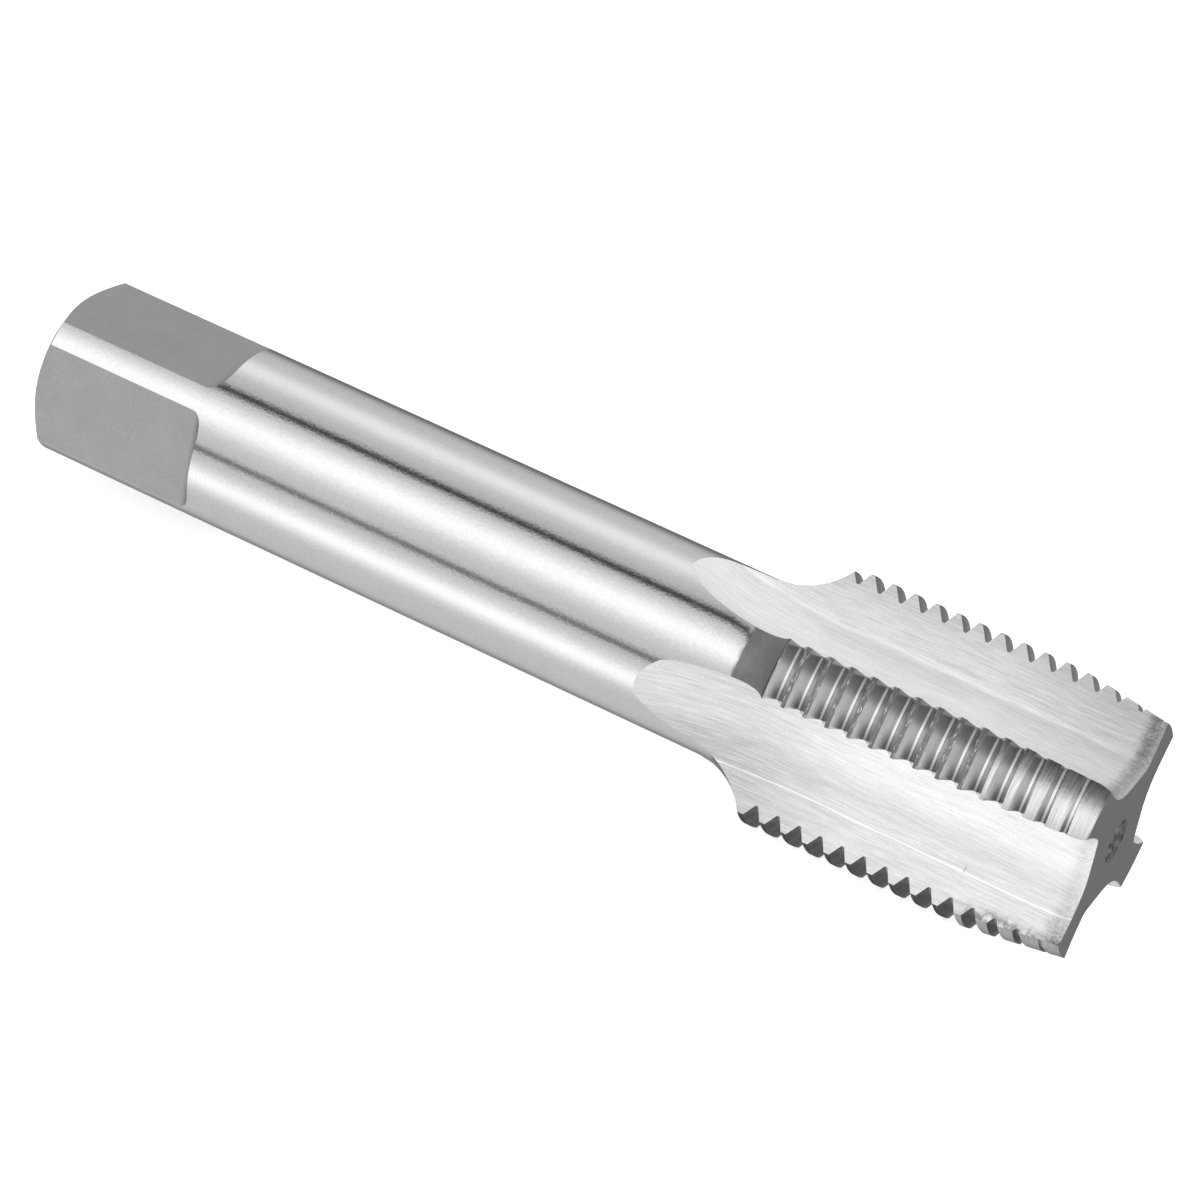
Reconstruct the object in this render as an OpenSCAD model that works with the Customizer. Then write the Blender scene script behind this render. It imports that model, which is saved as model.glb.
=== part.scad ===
// Hand tap with a square drive, a plain shank and a threading body with straight flutes.
// One piece of hardened steel. It lies on its side as it would on a bench: its axis runs
// along X with the cutting end towards +X, and one flute faces straight down, so that two
// lands carry it. The origin is under the middle of the tap, on the surface it lies on.

/* [Thread] */
// Outside diameter of the thread, over the crests
thread_d = 29; // [25:0.5:35]
// Distance from one thread groove to the next
pitch = 2.5; // [1.5:0.25:3.5]
// Length of the threaded body, from the front face to the shoulder
thread_len = 36; // [28:0.5:44]
// Width of the flat at the bottom of each groove
root_flat = 0.3; // [0.1:0.05:0.4]
// Distance from the shoulder to the groove that starts nearest to it
groove_start = 0.4; // [0.2:0.1:0.8]

/* [Lead chamfer] */
// Number of teeth that the lead chamfer cuts across
lead_teeth = 4; // [2:1:6]
// Diameter of the lead chamfer at the front face, measured at the cutting edges
lead_d = 26.2; // [22:0.1:28]
// Drop of the lead chamfer from the cutting edge to the heel of each land
lead_relief = 0.8; // [0.2:0.1:1]

/* [Flutes] */
// Number of flutes
flute_count = 4; // [3:1:4]
// Length of the flutes, from the front face to their tips on the shank
flute_len = 51; // [47:0.5:60]
// Diameter of the core that the flutes leave
core_d = 13.8; // [11:0.2:16]
// Distance of the cutting edge from the plane through the axis
edge_offset = 1.9; // [1:0.1:2.5]
// Lean of the cutting face from that plane, which hooks the edge forward
hook_angle = 8; // [3:1:12]
// Radius of the hollow ground into the cutting face
face_r = 14; // [10:1:40]
// Radius of the corner between the cutting face and the floor of the flute
foot_r = 1.2; // [0.4:0.1:1.5]
// Distance of the heel's edge from the plane through the axis
heel_offset = 4.8; // [4:0.2:5.6]
// Lean of the heel wall from that plane, at its edge
heel_lean = 13; // [6:1:16]
// Radius of the hollow of the heel wall
heel_wall_r = 28; // [20:1:60]
// Radius of the curve between the floor and the heel wall
heel_r = 6.5; // [3:0.5:7]
// Radius of the grinding wheel that leaves the sloping end of each flute
wheel_r = 40; // [30:1:60]

/* [Shank] */
// Overall length of the tap
overall_len = 127; // [105:1:155]
// Diameter of the shank
shank_d = 20; // [17:0.5:24]
// Length of the hollow shoulder, between the ground shank's step and the thread
shoulder_len = 5.7; // [4.5:0.1:8]
// Radius of the hollow of the shoulder
shoulder_r = 10; // [8:0.5:20]
// Height of the step at the foot of the shoulder, where the ground shank ends
step_h = 0.4; // [0.2:0.05:0.6]

/* [Square] */
// Size of the driving square across its flats
square_af = 16; // [13:0.1:16.8]
// Length of the driving square
square_len = 20; // [14:0.5:26]
// Radius of the corner at the inner end of each flat
square_r = 1; // [0.4:0.1:1.5]
// Turn of the square's corners behind the middle of the lands
square_turn = 5; // [0:1:45]
// Length of the chamfer round the end of the square
end_chamfer_len = 1.25; // [0.5:0.25:3]
// Slope of that chamfer, measured from the axis
end_chamfer_angle = 62; // [30:1:70]

/* [Centre holes] */
// Diameter of each centre hole at the face
centre_d = 4.8; // [3:0.1:6]
// Diameter of the pilot drilling inside it
pilot_d = 2.4; // [1:0.1:2.8]
// Length of the pilot drilling beyond the cone
pilot_len = 3; // [1:0.5:5]

/* [Hidden] */
$fn = 96;

// Angles of a standard metric thread, a centre drill and a twist drill tip
flank_angle = 30;
centre_angle = 30;
drill_tip_angle = 59;
// Depth of a metric external thread as a share of its pitch
depth_per_pitch = 0.6134;
// How far a cutting shape reaches past what it cuts
past = 1;
// How far the wheel cuts below the floor of the flute where its sloping end begins
wheel_dip = 0.05;
// Overlap of two shapes that meet in the turned body
join = 0.05;
// The arc of a corner is larger by this share, so that it crosses its walls cleanly
arc_swell = 1.002;

thread_r = thread_d / 2;
shank_r = shank_d / 2;
core_r = core_d / 2;
groove_depth = depth_per_pitch * pitch;
groove_root_r = thread_r - groove_depth;
helix_angle = atan(pitch / (PI * (thread_d - groove_depth)));

// Stations along the axis, measured from the end of the square
thread_z = overall_len - thread_len;
// The wheel leaves full depth this far before its tip, where the floor meets the shank
runout_len = sqrt(wheel_r ^ 2 - (wheel_r + core_r - shank_r) ^ 2);
runout_z = overall_len - flute_len + runout_len;
// Each flute is drawn with the land that it gives a cutting face on the angle 0.
// Angles of the cutting edge and of the next land's heel, on the crests
land_step = 360 / flute_count;
edge_angle = asin(edge_offset / thread_r);
heel_angle = land_step - asin(heel_offset / thread_r);
flute_angle = (edge_angle + heel_angle) / 2;
land_angle = land_step - (heel_angle - edge_angle);
// Angle of a shape that cuts across one land and ends in the flutes on its two sides
cut_span = land_angle + (land_step - land_angle) / 3;

// Point at a distance and an angle from the axis
function polar(r, a) = [r * cos(a), r * sin(a)];

// Point where the line through p along angle a meets the line through q along angle b
function meeting(p, a, q, b) =
    let (s = ((q.x - p.x) * sin(b) - (q.y - p.y) * cos(b)) / sin(b - a))
    p + polar(s, a);

// The floor of a flute lies square to the direction in which the wheel cuts. Its two walls
// are hollows of circles: one runs from the cutting edge to the foot of the cutting face,
// and the other leans by the heel's lean where it meets the heel's edge.
floor_angle = flute_angle + 90;
floor_point = polar(core_r, flute_angle);
edge_point = [sqrt(thread_r ^ 2 - edge_offset ^ 2), edge_offset];
foot_point = meeting(edge_point, hook_angle, floor_point, floor_angle);
face_chord = norm(edge_point - foot_point);
face_centre = (edge_point + foot_point) / 2
    + polar(sqrt(face_r ^ 2 - face_chord ^ 2 / 4), hook_angle + 90);
heel_centre = polar(thread_r, heel_angle) + polar(heel_wall_r, land_step - heel_lean - 90);

// Beside the shoulder the wheel may have lifted by this much already, which turns both
// edges of the flute there towards its middle
shoulder_lift = runout_z > thread_z ? wheel_r - sqrt(wheel_r ^ 2 - (runout_z - thread_z) ^ 2) : 0;
function lifted(c) = c + polar(shoulder_lift, flute_angle);
function crest_angle(c, r, side) =
    atan2(c.y, c.x) + side * acos((thread_r ^ 2 + c * c - r ^ 2) / (2 * thread_r * norm(c)));
edge_turn = crest_angle(lifted(face_centre), face_r, -1) - flute_angle;
heel_turn = crest_angle(lifted(heel_centre), heel_wall_r, 1) - flute_angle;
// Height of the axis over the surface that the edges of the flute underneath rest on
rest_h = max(thread_r * cos(min(-edge_turn, heel_turn)), shank_r);

// Distance of a point from the floor of the flute
function over_floor(c) = (c - floor_point) * polar(1, flute_angle);

// Point at the height h over the floor, a distance r from the centre c of a wall's hollow.
// side is 1 towards the heel wall and -1 towards the cutting face.
function beside(c, r, h, side) =
    c + polar(h - over_floor(c), flute_angle)
        + polar(side * sqrt(r ^ 2 - (h - over_floor(c)) ^ 2), floor_angle);

// Fill for the corner between the floor and the hollow wall of radius wall_r round c. It
// reaches into both, so that no edge of it lies along one.
module corner_fill(c, wall_r, r, side) {
    centre = beside(c, wall_r - r, r, side);
    translate(centre)
        difference() {
            polygon([
                [0, 0],
                polar(2 * r, flute_angle + 180),
                2 * (beside(c, wall_r, 0, side) - centre),
                2 * r / (wall_r - r) * (centre - c)
            ]);
            circle(r * arc_swell);
        }
}

// Section of one flute, square to the axis
module flute_section() {
    reach = 1.5 * thread_r;
    difference() {
        intersection() {
            translate(face_centre) circle(face_r);
            translate(heel_centre) circle(heel_wall_r);
            rotate(flute_angle) translate([core_r, -reach]) square([reach, 2 * reach]);
        }
        corner_fill(face_centre, face_r, foot_r, -1);
        corner_fill(heel_centre, heel_wall_r, heel_r, 1);
    }
}

// Full depth of one flute, along the thread
module flute_straight() {
    translate([0, 0, runout_z])
        linear_extrude(overall_len - runout_z + past) flute_section();
}

// Sloping end of one flute, lifted out of the shank along the wheel's arc. The wheel
// enters the floor a little before the straight part ends, so that the two overlap.
module flute_runout() {
    entry = acos(1 - 3 * wheel_dip / wheel_r);
    exit = acos(1 - (shank_r + past - core_r) / wheel_r);
    rotate([0, 0, flute_angle])
        translate([core_r - wheel_dip + wheel_r, 0, runout_z])
        rotate([-90, 0, 180])
        rotate([0, 0, -entry])
        rotate_extrude(angle = entry + exit)
        translate([core_r + wheel_r, 0])
        rotate(180 - flute_angle) flute_section();
}

// One thread groove across a land, tilted to the helix, with its middle at the height z
module groove(z) {
    root_half = root_flat / 2;
    mouth_r = thread_r + past;
    mouth_half = root_half + (mouth_r - groove_root_r) * tan(flank_angle);
    translate([0, 0, z])
        rotate([helix_angle, 0, 0])
        rotate([0, 0, -cut_span / 2])
        rotate_extrude(angle = cut_span)
        polygon([
            [groove_root_r, -root_half],
            [mouth_r, -mouth_half],
            [mouth_r, mouth_half],
            [groove_root_r, root_half]
        ]);
}

// Grooves of one land. The helix is right-handed: going round with the cutting direction,
// each land's grooves lie a share of the pitch nearer to the front than the land before.
module land_grooves(i) {
    first = groove_start + ((i + flute_count - 1) % flute_count) * pitch / flute_count;
    rotate([0, 0, (i + 0.5) * land_step])
        for (z = [thread_z + first : pitch : overall_len + pitch / 2]) {
            groove(z);
        }
}

// What the lead chamfer takes off one land. Its cone is shifted towards the cutting edge,
// so that the land falls away behind it.
module lead_cut() {
    lead_len = lead_teeth * pitch;
    slope = (thread_r - lead_d / 2) / lead_len;
    shift = lead_relief / sin(land_angle);
    length = lead_len + (lead_relief + past) / slope;
    front_r = lead_d / 2 - past * slope;
    difference() {
        rotate([0, 0, edge_angle - (land_angle + cut_span) / 2])
            translate([0, 0, overall_len + past - length])
            rotate_extrude(angle = cut_span)
            translate([core_r + past, 0]) square([thread_r - core_r, length]);
        translate(concat(polar(shift, edge_angle + 90), overall_len - length))
            cylinder(
                h = length + 2 * past,
                r1 = front_r + (length + past) * slope,
                r2 = front_r - past * slope
            );
    }
}

// Half section of the turned body: chamfered end, shank, shoulder and threaded body. The
// shoulder's hollow runs from the top of a step with a slope of 45 degrees, where the
// ground shank ends, to the full diameter of the thread.
module body_half_section() {
    end_r = shank_r - end_chamfer_len * tan(end_chamfer_angle);
    ring_r = shank_r + step_h;
    ring_z = thread_z - shoulder_len;
    to_thread = [thread_r - ring_r, shoulder_len];
    middle = [ring_r, ring_z] + to_thread / 2;
    outward = [shoulder_len, ring_r - thread_r] / norm(to_thread);
    polygon([
        [0, 0],
        [end_r, 0],
        [shank_r, end_chamfer_len],
        [shank_r, ring_z - step_h + join],
        [0, ring_z - step_h + join]
    ]);
    difference() {
        polygon([
            [0, ring_z - ring_r],
            [ring_r + join, ring_z + join],
            [thread_r, ring_z + join],
            [thread_r, overall_len],
            [0, overall_len]
        ]);
        translate(middle + sqrt(shoulder_r ^ 2 - to_thread * to_thread / 4) * outward)
            circle(shoulder_r);
    }
}

// What one side of the square loses, with the corner radius at the inner end of the flat
module flat_cut() {
    flat_h = square_af / 2;
    width = shank_d + 2 * past;
    translate([0, width / 2, 0])
        rotate([90, 0, 0])
        linear_extrude(width) {
            translate([flat_h, -past]) square([shank_r, square_len - square_r + past]);
            translate([flat_h + square_r, -past]) square([shank_r, square_len + past]);
            translate([flat_h + square_r, square_len - square_r]) circle(square_r);
        }
}

// Centre hole: a cone for the lathe centre, a pilot drilling and its drilled tip.
// Drawn at the origin, opening downwards.
module centre_hole() {
    pilot_r = pilot_d / 2;
    cone_len = (centre_d - pilot_d) / 2 / tan(centre_angle);
    tip_len = pilot_r / tan(drill_tip_angle);
    rotate_extrude()
        polygon([
            [0, -past],
            [centre_d / 2 + past * tan(centre_angle), -past],
            [pilot_r, cone_len],
            [pilot_r, cone_len + pilot_len],
            [0, cone_len + pilot_len + tip_len]
        ]);
}

// Copies a shape that is drawn beside the land on the angle 0 to every flute. The wheel
// cuts the first flute along the angle 0.
module each_flute() {
    for (i = [0 : flute_count - 1]) {
        rotate([0, 0, i * land_step - flute_angle]) children();
    }
}

// Turned body with its flutes ground in. The seam of the revolved body lies on a land.
module fluted_body() {
    difference() {
        rotate([0, 0, land_step / 2]) rotate_extrude() body_half_section();
        each_flute() flute_straight();
        each_flute() flute_runout();
    }
}

// The whole tap, standing on the end of its square
module tap_upright() {
    difference() {
        fluted_body();
        each_flute() lead_cut();
        for (i = [0 : flute_count - 1]) {
            land_grooves(i);
        }
        for (i = [0 : 3]) {
            rotate([0, 0, i * 90 - square_turn]) flat_cut();
        }
        centre_hole();
        translate([0, 0, overall_len]) mirror([0, 0, 1]) centre_hole();
    }
}

module tap() {
    color([0.76, 0.76, 0.77])
        translate([-overall_len / 2, 0, rest_h])
        rotate([0, 90, 0])
        tap_upright();
}

tap();
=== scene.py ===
"""Looks of a hand tap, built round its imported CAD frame.

The tap is modelled upright in millimetres, its square end at z = 0, and laid down into the
frame by to_frame(). The turned blank comes first. The helical thread, the grinding of the
lands, the flutes, the driving square and the centre holes are then cut out of it.
"""
import cmath
import math
from collections import namedtuple

import bmesh
import bpy
import numpy as np
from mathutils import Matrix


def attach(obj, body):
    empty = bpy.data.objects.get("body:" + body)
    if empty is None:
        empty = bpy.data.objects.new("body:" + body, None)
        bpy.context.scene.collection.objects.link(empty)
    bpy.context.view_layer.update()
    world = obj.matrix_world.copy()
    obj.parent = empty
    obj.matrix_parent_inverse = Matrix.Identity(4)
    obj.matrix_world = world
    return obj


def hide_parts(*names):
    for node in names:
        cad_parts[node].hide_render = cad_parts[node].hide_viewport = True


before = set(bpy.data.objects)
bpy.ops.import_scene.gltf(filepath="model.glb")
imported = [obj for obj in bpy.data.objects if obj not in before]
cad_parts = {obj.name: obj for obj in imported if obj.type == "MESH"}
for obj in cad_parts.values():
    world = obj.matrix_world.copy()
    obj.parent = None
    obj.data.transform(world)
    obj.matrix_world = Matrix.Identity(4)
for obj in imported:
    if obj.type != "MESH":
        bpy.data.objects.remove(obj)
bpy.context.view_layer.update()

MM = 0.001

# Thread: the groove has a flat root with a round corner to each flank
THREAD_D = 29.0
PITCH = 2.5
THREAD_LEN = 36.0
DEPTH_PER_PITCH = 0.6134
ROOT_FLAT = 0.3
ROOT_R = 0.1
FLANK_ANGLE = 30.0
# Height of the groove's middle over the start of the thread, in the middle of the second land
GROOVE_START = 0.4
# Half the mouth of the groove's cutting shape, in pitches, so that its turns stay apart
HALF_MOUTH = 0.49

# Lead chamfer, and how far it falls away from a land's cutting edge to its heel
LEAD_TEETH = 4
LEAD_D = 26.2
LEAD_RELIEF = 0.35
# How far the crest behind it falls away
CREST_RELIEF = 0.15
# What the relief takes off at the cutting edge, so that no two surfaces coincide
SKIM = 0.005

# Flutes: a hollow cutting face, a foot, a floor, a heel curve and a hollow heel wall
FLUTES = 4
FLUTE_LEN = 51.0
CORE_D = 13.8
EDGE_OFFSET = 1.9
HOOK_ANGLE = 8.0
FACE_R = 14.0
FOOT_R = 1.2
HEEL_OFFSET = 4.8
HEEL_LEAN = 13.0
HEEL_WALL_R = 28.0
HEEL_R = 6.5
WHEEL_R = 40.0
# The flutes' front edges are rolled over by the polishing brush
ROLL_LEN = 1.5
ROLL_R = 3.6

# Shank, square and centre holes
OVERALL_LEN = 127.0
SHANK_D = 20.0
SHOULDER_LEN = 5.7
SHOULDER_R = 10.0
# The soft rise at the shoulder's foot, and how much of the shoulder is as bright as the shank
FOOT_H = 0.25
FOOT_LEN = 1.8
FOOT_BEND = 0.3
BRIGHT_LEN = 0.9
SQUARE_AF = 16.0
# The flats' straight part, and the round in which they run out
SQUARE_LEN = 19.4
SQUARE_R = 1.8
SQUARE_TURN = 5.0
END_CHAMFER_LEN = 1.25
END_CHAMFER_ANGLE = 62.0
CENTRE_D = 4.8
CENTRE_ANGLE = 30.0
PILOT_D = 2.4
PILOT_LEN = 3.0
DRILL_TIP_ANGLE = 59.0

# Resolution of the round surfaces, in steps or in degrees
ROUND_STEPS = 256
THREAD_STEPS = 128
HOLE_STEPS = 64
ROLL_STEPS = 12
RUNOUT_STEPS = 24
LEAD_STEPS = 16
LAND_STEPS = 24
ARC_STEP = 2.0
SHARP_ANGLE = 20.0
# How far a cutting shape reaches past what it cuts
PAST = 1.0
LAND_PAST_ANGLE = 6.0

THREAD_R = THREAD_D / 2
SHANK_R = SHANK_D / 2
CORE_R = CORE_D / 2
GROOVE_DEPTH = DEPTH_PER_PITCH * PITCH
THREAD_Z = OVERALL_LEN - THREAD_LEN
LAND_STEP = 360.0 / FLUTES
EDGE_ANGLE = math.degrees(math.asin(EDGE_OFFSET / THREAD_R))
HEEL_ANGLE = LAND_STEP - math.degrees(math.asin(HEEL_OFFSET / THREAD_R))
FLUTE_ANGLE = (EDGE_ANGLE + HEEL_ANGLE) / 2
LAND_ANGLE = LAND_STEP - (HEEL_ANGLE - EDGE_ANGLE)
REST_H = THREAD_R * math.cos(math.radians(FLUTE_ANGLE - EDGE_ANGLE))
RUNOUT_Z = OVERALL_LEN - FLUTE_LEN + math.sqrt(WHEEL_R ** 2 - (WHEEL_R + CORE_R - SHANK_R) ** 2)

# Places in the frame, in metres
AXIS_H = REST_H * MM
RUNOUT_X = (RUNOUT_Z - OVERALL_LEN / 2) * MM
THREAD_X = (THREAD_Z - OVERALL_LEN / 2) * MM
SHOULDER_X = THREAD_X - SHOULDER_LEN * MM
FRONT_X = OVERALL_LEN / 2 * MM
WHEEL_H = (CORE_R + WHEEL_R) * MM

# The finishes, in the order of the material slots of every cutting shape
FINISHES = ["shank", "square", "shoulder", "flute", "thread", "crest", "lead", "end", "hole"]


def polar(radius, degrees):
    """Point in the plane, as a complex number."""
    return cmath.rect(radius, math.radians(degrees))


def direction_of(vector):
    """Direction of a complex vector, in degrees."""
    return math.degrees(cmath.phase(vector))


def meeting(p, a, q, b):
    """Point where the line through p along angle a meets the line through q along angle b."""
    along, across, gap = polar(1, a), polar(1, b), q - p
    share = (gap.real * across.imag - gap.imag * across.real) / (
        along.real * across.imag - along.imag * across.real
    )
    return p + share * along


def arc(centre, radius, start, end):
    """Points along an arc, from one angle to the other."""
    steps = max(2, math.ceil(abs(end - start) / ARC_STEP))
    return [centre + polar(radius, start + (end - start) * i / steps) for i in range(steps + 1)]


def to_frame(points):
    """Upright millimetres to the frame's metres."""
    points = np.asarray(points, float)
    x, y, z = points[..., 0], points[..., 1], points[..., 2]
    return np.stack([z - OVERALL_LEN / 2, y, REST_H - x], axis=-1) * MM


def turned(points, angle):
    """Points turned about the tap's axis, by an angle in degrees."""
    points = np.asarray(points, float)
    c, s = math.cos(math.radians(angle)), math.sin(math.radians(angle))
    x, y = points[..., 0], points[..., 1]
    return np.stack([c * x - s * y, s * x + c * y, points[..., 2]], axis=-1)


class Shell:
    """Closed surfaces gathered into one mesh, each face with its finish."""

    def __init__(self):
        self.points, self.faces, self.finishes = [], [], []
        self.count = 0

    def add(self, points, faces, finishes):
        """One closed surface, its faces by the numbers of its own points."""
        self.points.append(np.asarray(points, float))
        self.faces += [[v + self.count for v in face] for face in faces]
        self.finishes += [FINISHES.index(f) for f in finishes]
        self.count += len(points)

    def add_grid(self, rings, finish):
        """A tube through closed rings of points. finish is one name, or one name for each side."""
        rings = np.asarray(rings, float)
        n, m = rings.shape[:2]
        names = [finish] * m if isinstance(finish, str) else finish
        faces, finishes = [], []
        for i in range(n - 1):
            for j in range(m):
                k = (j + 1) % m
                faces.append([i * m + j, i * m + k, (i + 1) * m + k, (i + 1) * m + j])
                finishes.append(names[j])
        faces.append(list(range(m))[::-1])
        faces.append([(n - 1) * m + j for j in range(m)])
        finishes += [names[0], names[0]]
        self.add(rings.reshape(-1, 3), faces, finishes)

    def add_revolved(self, profile, finishes, steps=ROUND_STEPS):
        """A solid turned from a profile of (radius, z) points that starts and ends on the axis."""
        inner = profile[1:-1]
        angles = np.linspace(0, 2 * math.pi, steps, endpoint=False)
        points = [(0, 0, profile[0][1])]
        for r, z in inner:
            points += [(r * math.cos(a), r * math.sin(a), z) for a in angles]
        points.append((0, 0, profile[-1][1]))
        last = len(points) - 1
        faces, names = [], []
        for j in range(steps):
            k = (j + 1) % steps
            faces.append([0, 1 + k, 1 + j])
            names.append(finishes[0])
            for i in range(len(inner) - 1):
                a, b = 1 + i * steps, 1 + (i + 1) * steps
                faces.append([a + j, a + k, b + k, b + j])
                names.append(finishes[i + 1])
            a = 1 + (len(inner) - 1) * steps
            faces.append([a + j, a + k, last])
            names.append(finishes[-1])
        self.add(points, faces, names)

    def build(self, name):
        """The object, laid down into the frame, with a material slot for each finish."""
        mesh = bpy.data.meshes.new(name)
        mesh.from_pydata(to_frame(np.concatenate(self.points)).tolist(), [], self.faces)
        for finish in FINISHES:
            mesh.materials.append(bpy.data.materials[finish])
        mesh.polygons.foreach_set("material_index", self.finishes)
        bm = bmesh.new()
        bm.from_mesh(mesh)
        bmesh.ops.recalc_face_normals(bm, faces=bm.faces)
        bm.to_mesh(mesh)
        bm.free()
        obj = bpy.data.objects.new(name, mesh)
        bpy.context.scene.collection.objects.link(obj)
        return obj


def blank():
    """The turned blank: chamfered end, shank, hollow shoulder and the cylinder that the thread
    is cut in. The shank is ground bright up onto the foot of the shoulder."""
    end_r = SHANK_R - END_CHAMFER_LEN * math.tan(math.radians(END_CHAMFER_ANGLE))
    ring = complex(SHANK_R + FOOT_H, THREAD_Z - SHOULDER_LEN)
    top = complex(THREAD_R, THREAD_Z)
    chord = top - ring
    outward = chord / abs(chord) * -1j
    centre = (ring + top) / 2 + outward * math.sqrt(SHOULDER_R ** 2 - abs(chord) ** 2 / 4)
    hollow = arc(centre, SHOULDER_R, direction_of(ring - centre) % 360, direction_of(top - centre))
    profile = [
        (0, 0),
        (end_r, 0),
        (SHANK_R, END_CHAMFER_LEN),
        (SHANK_R, ring.imag - FOOT_LEN - FOOT_BEND),
        (SHANK_R, ring.imag - FOOT_LEN),
    ]
    profile += [(p.real, p.imag) for p in hollow]
    profile += [(THREAD_R, OVERALL_LEN), (0, OVERALL_LEN)]
    finishes = ["end", "end", "shank", "shank", "shank"]
    for p in hollow[1:]:
        finishes.append("shank" if p.imag < ring.imag + BRIGHT_LEN else "shoulder")
    finishes += ["crest", "end"]
    shell = Shell()
    shell.add_revolved(profile, finishes)
    return shell.build("blank")


def thread_tool():
    """The groove of the thread, as one V with a flat root along a right-hand helix. It starts in
    a flute beside the shoulder and runs out past the front face."""
    half_width = ROOT_FLAT / 2 + GROOVE_DEPTH * math.tan(math.radians(FLANK_ANGLE))
    root_r = THREAD_R - GROOVE_DEPTH
    mouth = HALF_MOUTH * PITCH
    mouth_r = THREAD_R + (mouth - half_width) / math.tan(math.radians(FLANK_ANGLE))
    corner = complex(root_r + ROOT_R, ROOT_FLAT / 2 - ROOT_R * math.tan(math.radians(FLANK_ANGLE)))
    turn = 90 - FLANK_ANGLE
    root = arc(corner.conjugate(), ROOT_R, 180 + turn, 180) + arc(corner, ROOT_R, 180, 180 - turn)
    section = [(mouth_r, -mouth)] + [(p.real, p.imag) for p in root] + [(mouth_r, mouth)]
    flute_angle, land_angle = LAND_STEP, 1.5 * LAND_STEP
    turns = (THREAD_LEN + PITCH) / PITCH
    steps = math.ceil(turns * THREAD_STEPS)
    rings = []
    for i in range(steps + 1):
        angle = flute_angle + 360 * i / THREAD_STEPS
        z = THREAD_Z + GROOVE_START + PITCH * (angle - land_angle) / 360
        rings.append(turned([(r, 0, z + dz) for r, dz in section], angle))
    shell = Shell()
    shell.add_grid(rings, "thread")
    return shell.build("thread_tool")


def flute_section():
    """Outline of one flute across the axis, with its cutting face beside the land on the angle
    0: hollow cutting face, foot, floor, heel curve and hollow heel wall."""
    past = math.degrees(2 * PAST / FACE_R)
    floor_angle = FLUTE_ANGLE + 90
    edge = complex(math.sqrt(THREAD_R ** 2 - EDGE_OFFSET ** 2), EDGE_OFFSET)
    floor = polar(CORE_R, FLUTE_ANGLE)
    foot = meeting(edge, HOOK_ANGLE, floor, floor_angle)
    face_reach = math.sqrt(FACE_R ** 2 - abs(edge - foot) ** 2 / 4)
    face = (edge + foot) / 2 + polar(face_reach, HOOK_ANGLE + 90)
    heel_edge = polar(THREAD_R, HEEL_ANGLE)
    heel = heel_edge + polar(HEEL_WALL_R, LAND_STEP - HEEL_LEAN - 90)

    def corner_centre(wall, wall_r, radius, side):
        """Centre of the round corner between the floor and the hollow wall round a centre."""
        height = ((wall - floor) * polar(1, -FLUTE_ANGLE)).real - radius
        along = math.sqrt((wall_r - radius) ** 2 - height ** 2)
        return wall - polar(height, FLUTE_ANGLE) + side * polar(along, floor_angle)

    foot_centre = corner_centre(face, FACE_R, FOOT_R, -1)
    heel_centre = corner_centre(heel, HEEL_WALL_R, HEEL_R, 1)
    edge_end = direction_of(edge - face) + past
    foot_start = direction_of(foot_centre - face)
    inward = FLUTE_ANGLE - 180
    heel_start = direction_of(heel_centre - heel) - 360
    heel_end = direction_of(heel_edge - heel) - 360 - past
    outline = arc(face, FACE_R, edge_end, foot_start)
    outline += arc(foot_centre, FOOT_R, foot_start, inward)[1:]
    outline += arc(heel_centre, HEEL_R, inward, heel_start)
    outline += arc(heel, HEEL_WALL_R, heel_start, heel_end)[1:]
    outline.append(polar(2 * THREAD_R, FLUTE_ANGLE))
    return outline


def flute_tool():
    """The four flutes: each runs straight along the thread and lifts out along the wheel's arc."""
    section = [p * polar(1, -FLUTE_ANGLE) for p in flute_section()]
    after = section[1:] + section[:1]
    before = section[-1:] + section[:-1]
    outward = [(b - a) / abs(b - a) * 1j for a, b in zip(before, after)]
    if abs(section[0] + outward[0]) < abs(section[0]):
        outward = [-n for n in outward]
    wheel_axis = CORE_R + WHEEL_R
    lift = math.degrees(math.acos(1 - (SHANK_R + PAST - CORE_R) / WHEEL_R))
    rings = []
    for gone in np.linspace(ROLL_LEN + PAST, 0, ROLL_STEPS):
        widened = ROLL_R - math.sqrt(ROLL_R ** 2 - gone ** 2)
        z = OVERALL_LEN - ROLL_LEN + gone
        wide = [p + n * widened for p, n in zip(section, outward)]
        rings.append([(p.real, p.imag, z) for p in wide])
    for b in np.linspace(0, lift, RUNOUT_STEPS):
        c, s = math.cos(math.radians(b)), math.sin(math.radians(b))
        rings.append([
            (wheel_axis - (wheel_axis - p.real) * c, p.imag, RUNOUT_Z - (wheel_axis - p.real) * s)
            for p in section
        ])
    shell = Shell()
    for i in range(FLUTES):
        shell.add_grid(turned(rings, i * LAND_STEP), "flute")
    return shell.build("flute_tool")


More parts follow.
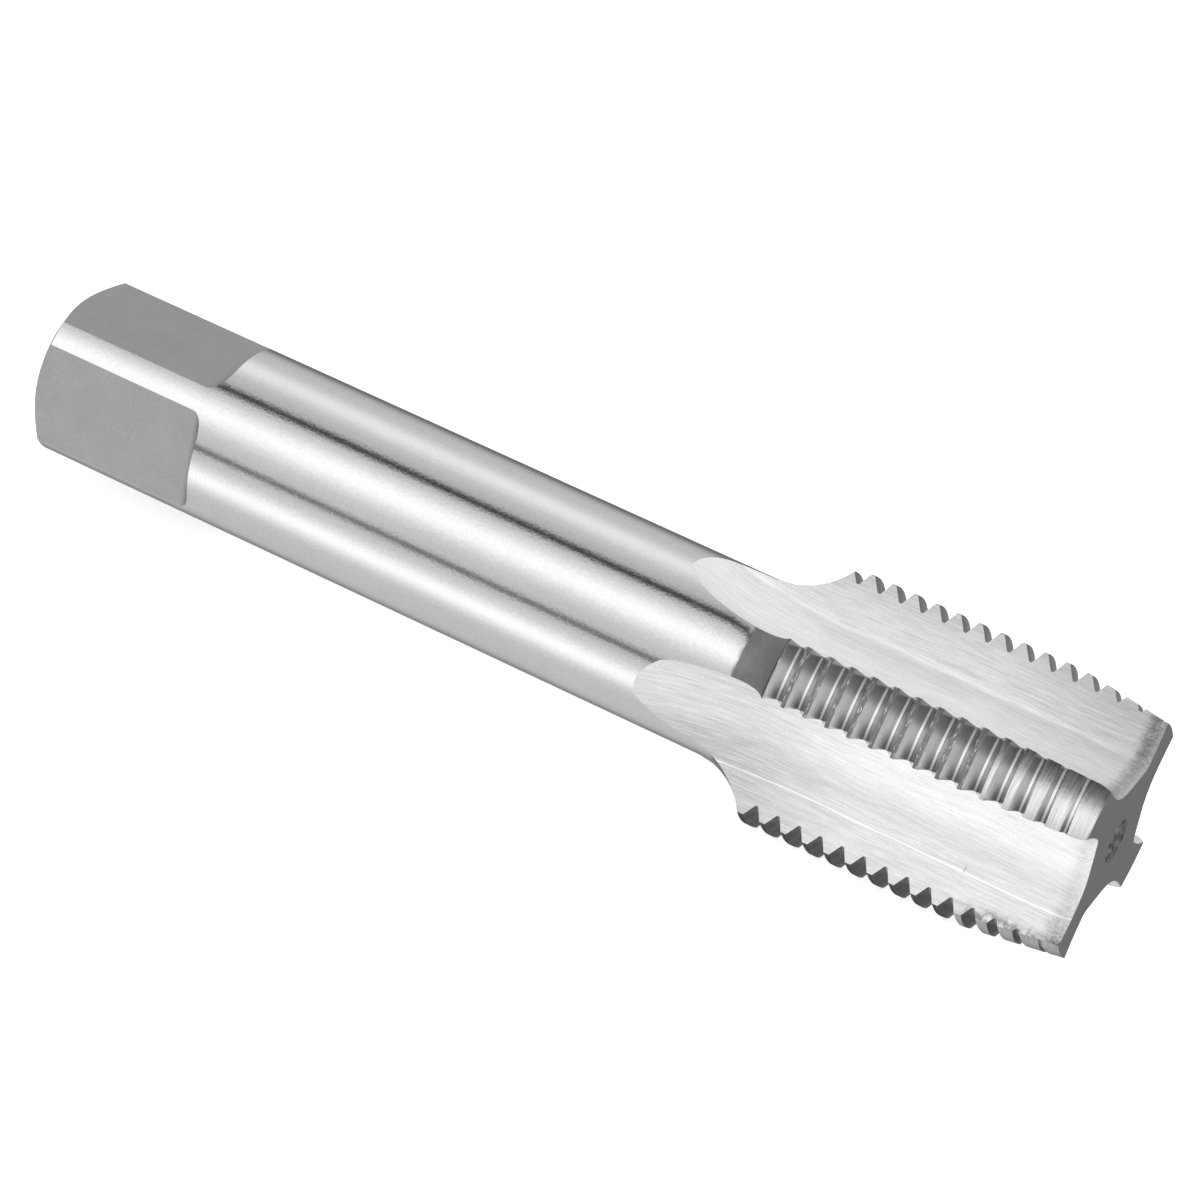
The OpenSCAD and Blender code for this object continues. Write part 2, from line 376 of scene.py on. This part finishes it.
def land_tool():
    """What the grinding of the crests takes off the four lands: a long cylinder and the cone of
    the lead chamfer, both shifted towards the cutting edge, so that the land falls away behind
    it."""
    lead_len = LEAD_TEETH * PITCH
    slope = (THREAD_R - LEAD_D / 2) / lead_len
    top, bottom = OVERALL_LEN + PAST, THREAD_Z - PAST
    outer = THREAD_R + PAST
    stations = np.linspace(top, OVERALL_LEN - lead_len - LEAD_RELIEF / slope, LEAD_STEPS)

    def reach(radius, relief, turn):
        """Distance from the tap's axis to a round surface shifted by the relief."""
        shift = relief / math.sin(math.radians(LAND_ANGLE))
        return shift * math.cos(turn) + math.sqrt(radius ** 2 - (shift * math.sin(turn)) ** 2)

    rings = []
    start, end = EDGE_ANGLE - LAND_ANGLE - LAND_PAST_ANGLE, EDGE_ANGLE + LAND_PAST_ANGLE
    for angle in np.linspace(start, end, LAND_STEPS):
        turn = math.radians(angle - EDGE_ANGLE - 90)
        crest = reach(THREAD_R - SKIM, CREST_RELIEF, turn)
        ring = []
        for z in stations:
            cone = LEAD_D / 2 + (OVERALL_LEN - z) * slope
            ring.append((min(reach(cone, LEAD_RELIEF, turn), crest), z))
        ring += [(crest, bottom), (outer, bottom), (outer, top)]
        rings.append(turned([(r, 0, z) for r, z in ring], angle))
    finishes = ["lead"] * (len(stations) - 1) + ["crest"] * 4
    shell = Shell()
    for i in range(FLUTES):
        shell.add_grid(turned(rings, i * LAND_STEP - FLUTE_ANGLE), finishes)
    return shell.build("land_tool")


def square_tool():
    """What the four flats of the driving square take off, each with a round corner at its
    inner end."""
    flat_h = SQUARE_AF / 2
    outer = SHANK_R + PAST
    corner = arc(complex(flat_h + SQUARE_R, SQUARE_LEN), SQUARE_R, 180, 90)
    profile = [(flat_h, -PAST)] + [(p.real, p.imag) for p in corner]
    profile += [(outer, SQUARE_LEN + SQUARE_R), (outer, -PAST)]
    rings = [[(r, y, z) for r, z in profile] for y in (-outer, outer)]
    shell = Shell()
    for i in range(4):
        shell.add_grid(turned(rings, i * 90 - SQUARE_TURN), "square")
    return shell.build("square_tool")


def centre_tool():
    """The centre hole in each end: a cone, a pilot drilling and its drilled tip."""
    pilot_r = PILOT_D / 2
    slope = math.tan(math.radians(CENTRE_ANGLE))
    cone_len = (CENTRE_D / 2 - pilot_r) / slope
    tip_len = pilot_r / math.tan(math.radians(DRILL_TIP_ANGLE))
    profile = [
        (0, -PAST),
        (CENTRE_D / 2 + PAST * slope, -PAST),
        (pilot_r, cone_len),
        (pilot_r, cone_len + PILOT_LEN),
        (0, cone_len + PILOT_LEN + tip_len),
    ]
    shell = Shell()
    finishes = ["hole"] * (len(profile) - 1)
    shell.add_revolved(profile, finishes, HOLE_STEPS)
    shell.add_revolved([(r, OVERALL_LEN - z) for r, z in profile], finishes, HOLE_STEPS)
    return shell.build("centre_tool")


def cut(body, tools):
    """The body with every tool taken out of it, as a new mesh."""
    for tool in tools:
        step = body.modifiers.new(tool.name, "BOOLEAN")
        step.operation = "DIFFERENCE"
        step.solver = "MANIFOLD"
        step.object = tool
    bpy.context.view_layer.update()
    depsgraph = bpy.context.evaluated_depsgraph_get()
    mesh = bpy.data.meshes.new_from_object(body.evaluated_get(depsgraph))
    for tool in tools:
        bpy.data.objects.remove(tool)
    body.modifiers.clear()
    body.data = mesh
    return body


def build_tap():
    """The whole tap, one piece on the frame's one body."""
    tap = cut(blank(), [thread_tool(), land_tool(), flute_tool(), square_tool(), centre_tool()])
    tap.name = "threading_tap"
    tap.data.shade_smooth()
    tap.data.set_sharp_from_angle(angle=math.radians(SHARP_ANGLE))
    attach(tap, "root")
    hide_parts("tap")


class Graph:
    """A material's nodes, with one short call for each kind of node."""

    def __init__(self, material):
        material.use_nodes = True
        self.material = material
        self.nodes, self.links = material.node_tree.nodes, material.node_tree.links

    def output(self, kind, name):
        """The named output of a new node."""
        return self.nodes.new(kind).outputs[name]

    def fill(self, socket, value):
        """Link an output to a socket, or set its value."""
        if isinstance(value, bpy.types.NodeSocket):
            self.links.new(value, socket)
        else:
            socket.default_value = value

    def vector(self, operation, *inputs):
        node = self.nodes.new("ShaderNodeVectorMath")
        node.operation = operation
        for socket, value in zip(node.inputs, inputs):
            self.fill(socket, value)
        return node.outputs["Value" if operation == "DOT_PRODUCT" else "Vector"]

    def math(self, operation, *inputs):
        node = self.nodes.new("ShaderNodeMath")
        node.operation = operation
        for socket, value in zip(node.inputs, inputs):
            self.fill(socket, value)
        return node.outputs[0]

    def sum(self, *terms, start=0.0):
        """Sum of (output, weight) pairs."""
        total = start
        for output, weight in terms:
            total = self.math("MULTIPLY_ADD", output, weight, total)
        return total

    def product(self, first, *others):
        for other in others:
            first = self.math("MULTIPLY", first, other)
        return first

    def split(self, vector):
        node = self.nodes.new("ShaderNodeSeparateXYZ")
        self.links.new(vector, node.inputs[0])
        return node.outputs

    def join(self, *parts):
        node = self.nodes.new("ShaderNodeCombineXYZ")
        for socket, value in zip(node.inputs, parts):
            self.fill(socket, value)
        return node.outputs[0]

    def mixed(self, share, a, b):
        node = self.nodes.new("ShaderNodeMix")
        self.fill(node.inputs[0], share)
        self.fill(node.inputs[2], a)
        self.fill(node.inputs[3], b)
        return node.outputs[0]

    def fade(self, value, start, end):
        """Smooth step of a value, from 0 at start to 1 at end."""
        node = self.nodes.new("ShaderNodeMapRange")
        node.interpolation_type = "SMOOTHSTEP"
        for socket, v in zip(node.inputs, (value, start, end)):
            self.fill(socket, v)
        return node.outputs[0]

    def fade_mm(self, length, start, end):
        """Smooth step of a length in the frame, its start and end in millimetres."""
        return self.fade(length, start * MM, end * MM)

    def lobe(self, vector, direction, width):
        """Soft lobe round a direction, 1 in its middle, by its half width in degrees."""
        sharpness = 1 / (1 - math.cos(math.radians(width)))
        cosine = self.vector("DOT_PRODUCT", vector, direction)
        return self.math("EXPONENT", self.math("MULTIPLY_ADD", cosine, sharpness, -sharpness))


class Look(Graph):
    """A metal whose colour, roughness and relief come from noise in the object's own space."""

    def __init__(self, name, roughness, anisotropy=0.0, turn=0.0, edge_tint=1.0):
        super().__init__(bpy.data.materials.new(name))
        self.shader = self.nodes["Principled BSDF"]
        self.shader.inputs["Metallic"].default_value = 1
        self.shader.inputs["Anisotropic"].default_value = anisotropy
        self.shader.inputs["Anisotropic Rotation"].default_value = turn
        self.shader.inputs["Specular Tint"].default_value = (edge_tint, edge_tint, edge_tint, 1)
        self.roughness = roughness
        self.place = self.output("ShaderNodeTexCoord", "Object")
        if anisotropy:
            normal = self.output("ShaderNodeNewGeometry", "Normal")
            across_axis = self.vector("CROSS_PRODUCT", normal, (1, 0, 0))
            self.links.new(across_axis, self.shader.inputs["Tangent"])

    def from_axis(self):
        """The point's x, and its y and height from the tap's axis."""
        x, y, z = self.split(self.place)
        return x, y, self.math("SUBTRACT", z, AXIS_H)

    def noise(self, cells, detail=2.0, place=None):
        """Noise from about -1 to 1, its cells per millimetre given for each axis."""
        node = self.nodes.new("ShaderNodeTexNoise")
        node.inputs["Scale"].default_value = 1
        node.inputs["Detail"].default_value = detail
        scaled = self.vector("MULTIPLY", place or self.place, [count / MM for count in cells])
        self.links.new(scaled, node.inputs["Vector"])
        return self.math("MULTIPLY_ADD", node.outputs[0], 4.0, -2.0)

    def away_mm(self, length, mark):
        """Distance of a length in the frame from a mark in millimetres."""
        return self.math("ABSOLUTE", self.math("SUBTRACT", length, mark * MM))

    def finish(self, grey, variation, relief, relief_mm):
        """Set the colour to a grey times 1 + variation, let the roughness follow the variation,
        and add the relief, its depth in millimetres."""
        level = self.math("MULTIPLY", self.math("ADD", variation, 1.0), grey)
        self.links.new(level, self.shader.inputs["Base Color"])
        rough = self.math("MULTIPLY_ADD", variation, -0.5 * self.roughness, self.roughness)
        self.links.new(rough, self.shader.inputs["Roughness"])
        bump = self.nodes.new("ShaderNodeBump")
        bump.inputs["Distance"].default_value = relief_mm * MM
        self.links.new(relief, bump.inputs["Height"])
        self.links.new(bump.outputs[0], self.shader.inputs["Normal"])


# Soft changes of a finish, and of painted light and shade, each from its start to its end
# in millimetres
# Along the shoulder, from its foot and from the thread
BRIGHT_EDGE = (0.2, BRIGHT_LEN)
DARK_CORNER = (-0.4, -0.1)
# Height from the axis: the flute that faces up, and the lower teeth
HIGH_FLUTE = (3.5, 6.5)
LOW_TEETH = (0.0, -5.0)
# Towards the land that faces up and towards -Y, on which light and shade are painted, and into
# the groove of the thread
PAINTED_LIGHT_LAND = (10.0, 16.0)
GROOVE_WALL = (THREAD_R - 0.3, THREAD_R - GROOVE_DEPTH + 0.1)
# Depth from the axis at which a painted highlight brightens a flute's floor
FLOOR_HIGHLIGHT = (7.8, 6.9)
# Back from the front face: the painted shade along the rolled edge, its lighter rim and the smudge
ROLLED_SHADE = (2.4, 1.0)
ROLLED_SHADE_RIM = (0.7, 0.2)
SMUDGE_FRONT = (3.0, 0.6)
# From a flute's middle towards its heel: the smudge and the darker heel corner
SMUDGE_HEEL = (3.5, 6.8)
CORNER_HEEL = (5.8, 7.4)
# Along x: the darker heel corner, and the painted shade at the rear and at the front
CORNER_X = (50.0, 58.0)
REAR_SHADE = (40.0, 22.0)
FRONT_SHADE = (45.0, 62.0)

# The hair line and the nick, from the flute's middle towards its heel and along x, and how softly
# they end
HAIR_HEELWARD = 4.65
HAIR_EDGE = (0.09, 0.03)
HAIR_WANDER = 0.12
NICK_HEELWARD = 4.4
NICK_X = 51.5
NICK_EDGE = (0.4, 0.1)
NICK_X_EDGE = (0.15, 0.05)

# How far noise shifts the edge of the shoulder's skin and of the flutes' painted shade along the
# rolled edge
SKIN_RAGGED = 0.2
ROLLED_RAGGED = 0.3


def shank_look():
    """Cylindrically ground: bright, with a fine grain that runs round. The skin of the shoulder
    starts softly and a little unevenly."""
    look = Look("shank", 0.15, anisotropy=0.8, turn=0.25, edge_tint=0.8)
    grain = look.noise((3.4, 2.6, 2.6), 3.0)
    rings = look.noise((2.5, 0.09, 0.09), 2.0)
    blotches = look.noise((0.07, 0.14, 0.14), 3.0)
    ragged = look.noise((0.9, 0.9, 0.9), 3.0)
    x = look.math("MULTIPLY_ADD", ragged, SKIN_RAGGED * MM, look.from_axis()[0])
    skin = look.fade_mm(look.math("SUBTRACT", x, SHOULDER_X), *BRIGHT_EDGE)
    variation = look.sum((grain, 0.05), (rings, 0.02), (blotches, 0.02), (skin, -0.67))
    look.finish(0.62, variation, look.sum((grain, 1.0), (rings, 0.3)), 0.0028)


def square_look():
    """Milled and left matt, with a fine even speckle."""
    look = Look("square", 0.42)
    speckle = look.noise((4.2, 4.2, 4.2), 3.0)
    blotches = look.noise((0.26, 0.26, 0.26), 3.0)
    look.finish(0.31, look.sum((speckle, 0.07), (blotches, 0.04)), speckle, 0.006)


def shoulder_look():
    """Left as it came from the heat treatment: dark and matt, and darker beside the thread."""
    look = Look("shoulder", 0.42)
    speckle = look.noise((3.2, 2.4, 2.4), 3.0)
    blotches = look.noise((0.3, 0.3, 0.3), 3.0)
    corner = look.fade_mm(look.math("SUBTRACT", look.from_axis()[0], THREAD_X), *DARK_CORNER)
    variation = look.sum((speckle, 0.12), (blotches, 0.1), (corner, -0.75))
    look.finish(0.2, variation, speckle, 0.006)


# A place in a flute: the point for the noise, x, the distance from the flute's middle towards its
# heel, the depth from the axis, and whether the flute faces up or towards -Y
FlutePlace = namedtuple("FlutePlace", "point x heelward depth faces_up faces_front")


def flute_place(look):
    """The place in a flute, unbent along the wheel's arc where the flute runs out."""
    x, y, up = look.from_axis()
    y_size, up_size = look.math("ABSOLUTE", y), look.math("ABSOLUTE", up)
    is_side = look.math("GREATER_THAN", y_size, up_size)
    height = look.math("MAXIMUM", y_size, up_size)
    side = look.math("SIGN", look.mixed(is_side, up, y))
    turn = look.product(side, look.mixed(is_side, -1.0, 1.0))
    heelward = look.product(look.mixed(is_side, y, up), turn)
    back = look.math("MINIMUM", look.math("SUBTRACT", x, RUNOUT_X), 0.0)
    above = look.math("SUBTRACT", WHEEL_H, height)
    squares = look.math("ADD", look.math("POWER", back, 2.0), look.math("POWER", above, 2.0))
    depth = look.math("SUBTRACT", WHEEL_H, look.math("SQRT", squares))
    # Each flute has a stretch of the noise for itself
    shift = look.math("ADD", side, look.product(is_side, 0.5))
    point = look.join(look.math("ADD", x, shift), heelward, depth)
    faces_up = look.fade_mm(up, *HIGH_FLUTE)
    faces_front = look.product(is_side, look.math("LESS_THAN", y, 0.0))
    return FlutePlace(point, x, heelward, depth, faces_up, faces_front)


def flute_marks(look, place):
    """The bright hair line and the small nick on the flute that faces -Y."""
    wander = look.noise((0.06, 0.06, 0.06), 1.0, place.point)
    wandering = look.math("MULTIPLY_ADD", wander, HAIR_WANDER * MM, place.heelward)
    line = look.fade_mm(look.away_mm(wandering, HAIR_HEELWARD), *HAIR_EDGE)
    nick = look.product(
        look.fade_mm(look.away_mm(place.x, NICK_X), *NICK_X_EDGE),
        look.fade_mm(look.away_mm(place.heelward, NICK_HEELWARD), *NICK_EDGE),
    )
    return look.product(look.sum((line, 0.25), (nick, -0.25)), place.faces_front)


def flute_shade_and_smudge(look, place):
    """Painted shade along a flute's rolled front edge and towards its ends, a darker heel corner
    near the front, and one smudge.
    """
    mottle = look.noise((1.6, 1.6, 1.6), 3.0)
    specks = look.noise((4.5, 4.5, 4.5), 3.0)
    to_front = look.math("SUBTRACT", FRONT_X, place.x)
    to_front = look.math("MULTIPLY_ADD", mottle, ROLLED_RAGGED * MM, to_front)
    edge, rim = look.fade_mm(to_front, *ROLLED_SHADE), look.fade_mm(to_front, *ROLLED_SHADE_RIM)
    # Painted shade along the rolled front edge, lighter at its rim, mottled, and stronger on the
    # flute that faces up
    rolled = look.product(
        look.sum((edge, 1.0), (rim, -0.2)),
        look.math("MULTIPLY_ADD", place.faces_up, 0.28, 0.14),
        look.math("MULTIPLY_ADD", specks, 0.25, 0.9),
    )
    # Darker towards the heel corner near the front, mottled
    corner = look.product(
        look.fade_mm(place.heelward, *CORNER_HEEL),
        look.fade_mm(place.x, *CORNER_X),
        look.fade(mottle, -0.6, 0.6),
    )
    smudge = look.product(
        look.fade_mm(to_front, *SMUDGE_FRONT),
        look.fade_mm(place.heelward, *SMUDGE_HEEL),
        look.fade(specks, -1.6, 1.4),
        place.faces_front,
    )
    # Painted shade towards the rear of the flutes that don't face up, and towards the front of the
    # one that does
    rear = look.product(
        look.fade_mm(place.x, *REAR_SHADE),
        look.math("SUBTRACT", 1.0, place.faces_up),
    )
    front = look.product(look.fade_mm(place.x, *FRONT_SHADE), place.faces_up)
    return look.sum((rolled, -1.0), (corner, -0.85), (smudge, -0.42), (rear, -0.2), (front, -0.14))


def flute_look():
    """Ground lengthwise: a wide soft gloss across the flute, with streaks along it."""
    look = Look("flute", 0.42, anisotropy=0.9)
    place = flute_place(look)
    streaks = look.noise((0.11, 3.2, 3.2), 3.0, place.point)
    hairs = look.noise((0.3, 7.5, 7.5), 2.0, place.point)
    bands = look.noise((0.025, 0.42, 0.42), 2.0, place.point)
    grain = look.noise((5.0, 5.0, 5.0), 2.0)
    # Painted highlight along the floor of every flute
    floor = look.fade_mm(place.depth, *FLOOR_HIGHLIGHT)
    variation = look.sum(
        (streaks, 0.04),
        (hairs, 0.13),
        (bands, 0.02),
        (grain, 0.05),
        (floor, 0.13),
        # Painted shade over the whole flute that faces up
        (place.faces_up, -0.05),
        (flute_marks(look, place), 1.0),
        (flute_shade_and_smudge(look, place), 1.0),
    )
    look.finish(0.83, variation, look.sum((streaks, 0.35), (hairs, 0.5), (grain, 0.3)), 0.005)


# A place on a land: the side, from about -0.8 at the heel to 0.8 at the cutting edge, the radius,
# the height from the axis, and whether it is the land that faces up and towards -Y, on which
# light and shade are painted
LandPlace = namedtuple("LandPlace", "side radius up soiled")


def land_place(look):
    """The place on a land. The side is minus the sine of four times the angle about the axis."""
    x, y, up = look.from_axis()
    y2, up2 = look.product(y, y), look.product(up, up)
    lobes = look.product(y, up, look.math("SUBTRACT", up2, y2))
    square = look.math("ADD", y2, up2)
    share = look.math("DIVIDE", lobes, look.product(square, square))
    # The land that faces up and towards -Y, on which highlights and shade are painted
    soiled = look.fade_mm(look.math("SUBTRACT", up, y), *PAINTED_LIGHT_LAND)
    return LandPlace(look.product(share, 4.0), look.math("SQRT", square), up, soiled)


def thread_look():
    """The ground flanks of the thread, with fine lines that run round. Painted shade darkens them
    towards the heel, more on the lower teeth. On the land that faces up and towards -Y a painted
    highlight brightens the cutting side, with painted shade at the root."""
    look = Look("thread", 0.19, anisotropy=0.5, turn=0.25)
    rings = look.noise((9.0, 0.5, 0.5), 2.0)
    grain = look.noise((4.2, 2.4, 2.4), 3.0)
    blotches = look.noise((0.6, 0.38, 0.38), 3.0)
    place = land_place(look)
    low = look.fade_mm(place.up, *LOW_TEETH)
    # Painted shade towards the heel, stronger on the lower teeth
    heel = look.product(
        look.fade(place.side, -0.1, -0.55),
        look.math("MULTIPLY_ADD", low, 0.3, 0.32),
    )
    # Painted highlight on the cutting side of the land that faces up and towards -Y
    cutting = look.product(look.fade(place.side, 0.15, 0.8), place.soiled)
    # Painted shade at the root of the groove, under that highlight
    root = look.product(cutting, look.fade_mm(place.radius, *GROOVE_WALL))
    variation = look.sum(
        (rings, 0.05),
        (grain, 0.03),
        (blotches, 0.05),
        (heel, -1.0),
        (cutting, 0.35),
        (root, -0.8),
    )
    look.finish(0.56, variation, look.sum((rings, 0.5), (grain, 0.3)), 0.002)


def crest_look():
    """The crests keep the dark skin of the blank, rubbed bright in broken streaks."""
    look = Look("crest", 0.36, edge_tint=0.3)
    rubbed = look.fade(look.noise((8.0, 1.5, 1.5), 4.0), 0.15, 0.7)
    grain = look.noise((5.2, 3.0, 3.0), 3.0)
    look.finish(0.16, look.sum((rubbed, 2.0), (grain, 0.2)), grain, 0.006)


def lead_look():
    """The lead chamfer, ground round the tap, with patchy painted shade towards the heel, stronger
    on the land that faces up and towards -Y.
    """
    look = Look("lead", 0.24, anisotropy=0.7, turn=0.25)
    rings = look.noise((6.5, 0.26, 0.26), 3.0)
    blotches = look.noise((0.5, 0.5, 0.5), 3.0)
    patches = look.noise((2.6, 2.6, 2.6), 3.0)
    place = land_place(look)
    # Painted shade towards the heel, patchy, and stronger on the land that faces up and towards -Y
    heel = look.product(
        look.fade(look.math("MULTIPLY_ADD", patches, 0.08, place.side), 0.1, -0.65),
        look.math("MULTIPLY_ADD", place.soiled, 0.7, 0.3),
    )
    look.finish(0.52, look.sum((rings, 0.2), (blotches, 0.06), (heel, -0.65)), rings, 0.005)


def end_look():
    """The turned end faces: dark and even."""
    look = Look("end", 0.45)
    grain = look.noise((3.8, 3.8, 3.8), 3.0)
    blotches = look.noise((0.24, 0.24, 0.24), 3.0)
    look.finish(0.4, look.sum((grain, 0.08), (blotches, 0.06)), grain, 0.005)


def hole_look():
    """The drilled centre holes, with coarse rings."""
    look = Look("hole", 0.25)
    rings = look.noise((4.2, 0.7, 0.7), 3.0)
    look.finish(0.12, look.sum((rings, 0.7)), rings, 0.03)


def make_finishes():
    """The materials, by the names of FINISHES."""
    shank_look()
    square_look()
    shoulder_look()
    flute_look()
    thread_look()
    crest_look()
    lead_look()
    end_look()
    hole_look()


# Camera: where it stands, how it is turned in degrees, and its lens on a 36 mm sensor
CAMERA_AT = (162.98, -375.51, 317.85)
CAMERA_TURN = (52.759, -8.351, 29.387)
CAMERA_LENS = 145.66
SENSOR_WIDTH = 36
CLIP_START = 10.0

# The light that the tent lets in, and its soft bright and dark strips along the tap. Each strip
# has its angle about the tap's axis from +Y towards +Z, its half width in degrees and its strength.
EVEN_LIGHT = 0.82
DARKEST = 0.04
STRIPS = [
    (129, 18.5, 0.8),
    (212, 15.5, 0.8),
    (50, 15, 0.44),
    (93, 5.4, -0.75),
    (88, 16, -0.12),
    (176, 4.6, -0.62),
    (-16, 16, -0.56),
    (303, 15, -0.45),
    (325, 12, -0.25),
]
# One dark patch of the tent, by its direction's X, its angle, half width and strength
PATCH = (0.3, 310, 20, -0.3)
TENT_R = 3000.0
TENT_LEN = 60000.0
TENT_SIDES = 24

# The floor: how far it reaches each way, its pale grey, and the glow that makes it as white as
# the background
FLOOR_REACH = 3000.0
FLOOR_GREY = 0.9
FLOOR_ROUGHNESS = 0.9
FLOOR_SHINE = 0.1
FLOOR_GLOW = 0.6
WHITE = (1, 1, 1, 1)


def make_camera():
    camera = bpy.data.objects.new("camera", bpy.data.cameras.new("camera"))
    bpy.context.scene.collection.objects.link(camera)
    camera.location = [place * MM for place in CAMERA_AT]
    camera.rotation_euler = [math.radians(angle) for angle in CAMERA_TURN]
    camera.data.sensor_width = SENSOR_WIDTH
    camera.data.lens = CAMERA_LENS
    camera.data.clip_start = CLIP_START * MM
    bpy.context.scene.camera = camera


def make_world():
    """The background, plain white to every ray, so that the metal shows it too. All the light
    is wide and soft, so none is sampled on its own."""
    world = bpy.data.worlds.new("background")
    world.use_nodes = True
    background = world.node_tree.nodes["Background"]
    background.inputs["Color"].default_value = WHITE
    background.inputs["Strength"].default_value = 1
    world.cycles.sampling_method = "NONE"
    bpy.context.scene.world = world


def stage_object(name, points, faces, material):
    """An object of the studio, its points in millimetres."""
    mesh = bpy.data.meshes.new(name)
    mesh.from_pydata([[c * MM for c in point] for point in points], [], faces)
    mesh.materials.append(material)
    obj = bpy.data.objects.new(name, mesh)
    bpy.context.scene.collection.objects.link(obj)
    return obj


def gauze():
    """The tent's material. It lets the white background in, glows where a strip is bright, and
    holds light back where one is dark."""
    graph = Graph(bpy.data.materials.new("gauze"))
    graph.nodes.clear()
    place = graph.output("ShaderNodeTexCoord", "Object")
    across = graph.vector("NORMALIZE", graph.vector("MULTIPLY", place, (0, 1, 1)))
    lobes = []
    for angle, width, strength in STRIPS:
        spot = polar(1, angle)
        lobes.append((graph.lobe(across, (0, spot.real, spot.imag), width), strength))
    x, angle, width, strength = PATCH
    spot = polar(math.sqrt(1 - x ** 2), angle)
    patch = graph.lobe(graph.vector("NORMALIZE", place), (x, spot.real, spot.imag), width)
    lobes.append((patch, strength))
    light = graph.math("MAXIMUM", graph.sum(*lobes, start=EVEN_LIGHT), DARKEST)
    through = graph.nodes.new("ShaderNodeBsdfTransparent")
    graph.links.new(graph.math("MINIMUM", light, 1.0), through.inputs["Color"])
    glow = graph.nodes.new("ShaderNodeEmission")
    above_white = graph.math("MAXIMUM", graph.math("SUBTRACT", light, 1.0), 0.0)
    graph.links.new(above_white, glow.inputs["Strength"])
    both = graph.nodes.new("ShaderNodeAddShader")
    graph.links.new(through.outputs[0], both.inputs[0])
    graph.links.new(glow.outputs[0], both.inputs[1])
    out = graph.nodes.new("ShaderNodeOutputMaterial")
    graph.links.new(both.outputs[0], out.inputs["Surface"])
    graph.material.cycles.emission_sampling = "NONE"
    return graph.material


def make_tent():
    """The studio's light tent: a long tube of gauze round the tap, which the camera looks
    through."""
    ring = [polar(TENT_R, 360 * i / TENT_SIDES) for i in range(TENT_SIDES)]
    points = [(x, p.real, p.imag) for x in (-TENT_LEN / 2, TENT_LEN / 2) for p in ring]
    faces = []
    for i in range(TENT_SIDES):
        k = (i + 1) % TENT_SIDES
        faces.append([i, k, k + TENT_SIDES, i + TENT_SIDES])
    tent = stage_object("tent", points, faces, gauze())
    tent.visible_camera = False


def make_floor():
    """The white table. The tent's lower strips stand for it in the metal, so glossy rays pass
    through it. It keeps the tap's shadow."""
    graph = Graph(bpy.data.materials.new("floor"))
    inputs = graph.nodes["Principled BSDF"].inputs
    inputs["Base Color"].default_value = (FLOOR_GREY, FLOOR_GREY, FLOOR_GREY, 1)
    inputs["Roughness"].default_value = FLOOR_ROUGHNESS
    inputs["Specular IOR Level"].default_value = FLOOR_SHINE
    # It glows to the rays that show the background
    rays = graph.nodes.new("ShaderNodeLightPath").outputs
    seen = graph.math("MAXIMUM", rays["Is Camera Ray"], rays["Is Glossy Ray"])
    seen = graph.math("MAXIMUM", seen, rays["Is Transmission Ray"])
    inputs["Emission Color"].default_value = WHITE
    graph.links.new(graph.math("MULTIPLY", seen, FLOOR_GLOW), inputs["Emission Strength"])
    reach = FLOOR_REACH
    points = [(-reach, -reach, 0), (reach, -reach, 0), (reach, reach, 0), (-reach, reach, 0)]
    floor = stage_object("floor", points, [(0, 1, 2, 3)], graph.material)
    floor.visible_glossy = False


make_camera()
make_world()
make_tent()
make_floor()
make_finishes()
build_tap()
bpy.context.scene.view_settings.view_transform = "Standard"
